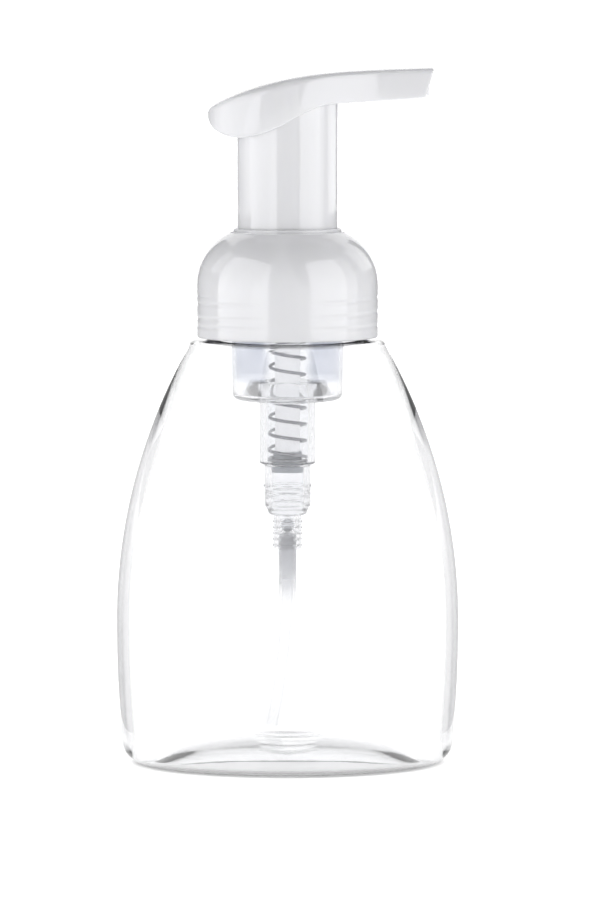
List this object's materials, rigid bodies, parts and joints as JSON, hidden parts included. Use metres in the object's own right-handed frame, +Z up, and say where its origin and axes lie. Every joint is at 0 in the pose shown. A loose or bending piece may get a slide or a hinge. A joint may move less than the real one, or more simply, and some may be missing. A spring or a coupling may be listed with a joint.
{
  "type": "soap pump dispenser",
  "caption": "Clear oval bottle with a white screw-on foam pump: leaf-shaped head with a side nozzle, domed collar, and a spring pump and dip tube inside.",
  "frame": {"origin": "middle of the bottle's base, on the pump's axis, on the surface it stands on", "axes": "+Z up along the pump, +X towards the nozzle along the bottle's wide side, +Y through the bottle's depth"},
  "size_m": [0.0832, 0.052, 0.1688],
  "materials": {
    "pet_clear": "clear, glossy PET",
    "pp_white": "glossy white polypropylene",
    "pp_natural": "clear natural polypropylene",
    "pe_tube": "translucent tube",
    "seal": "soft polyethylene seal",
    "mesh": "woven nylon screen",
    "spring_steel": "bright spring wire",
    "steel_ball": "polished"
  },
  "bodies": {
    "bottle_body": {"bottle": "pet_clear"},
    "pump_body": {"pump_cylinder": "pp_natural", "neck_gasket": "seal", "guide_ring": "pp_white", "dip_tube": "pe_tube", "return_spring": "spring_steel"},
    "collar_body": {"closure": "pp_white"},
    "piston_body": {"piston_rod": "pp_white", "liquid_piston": "seal", "air_piston": "pp_white", "air_inlet_valve": "seal", "mixing_chamber": "pp_white"},
    "head_body": {"actuator_head": "pp_white", "actuator_sleeve": "pp_white", "mesh_cartridge": "pp_white", "lower_mesh": "mesh", "upper_mesh": "mesh", "nozzle_insert": "pp_white"},
    "inlet_ball_body": {"inlet_ball": "steel_ball"},
    "discharge_ball_body": {"discharge_ball": "steel_ball"}
  },
  "joints": [
    {"name": "pump_rise", "type": "slide", "parent": "bottle_body", "child": "pump_body", "axis": [0, 0, 1], "range_m": [0, 0.00426]},
    {"name": "collar_turn", "type": "hinge", "parent": "pump_body", "child": "collar_body", "pos_m": [0, 0, 0.105], "axis": [0, 0, 1], "range_deg": [0, 450]},
    {"name": "press", "type": "slide", "parent": "pump_body", "child": "piston_body", "axis": [0, 0, -1], "range_m": [0, 0.0095], "stiffness_N_per_m": 900, "springref_m": -0.01, "deforming": ["return_spring"]},
    {"name": "nozzle_swivel", "type": "hinge", "parent": "piston_body", "child": "head_body", "pos_m": [0, 0, 0.13], "axis": [0, 0, 1], "continuous": true},
    {"name": "inlet_ball_lift", "type": "slide", "parent": "pump_body", "child": "inlet_ball_body", "axis": [0, 0, 1], "range_m": [0, 0.0014]},
    {"name": "discharge_ball_lift", "type": "slide", "parent": "piston_body", "child": "discharge_ball_body", "axis": [0, 0, 1], "range_m": [0, 0.002]}
  ],
  "couplings": [
    {"joint": "pump_rise", "follows": "collar_turn", "m_per_rad": 0.00054113}
  ]
}
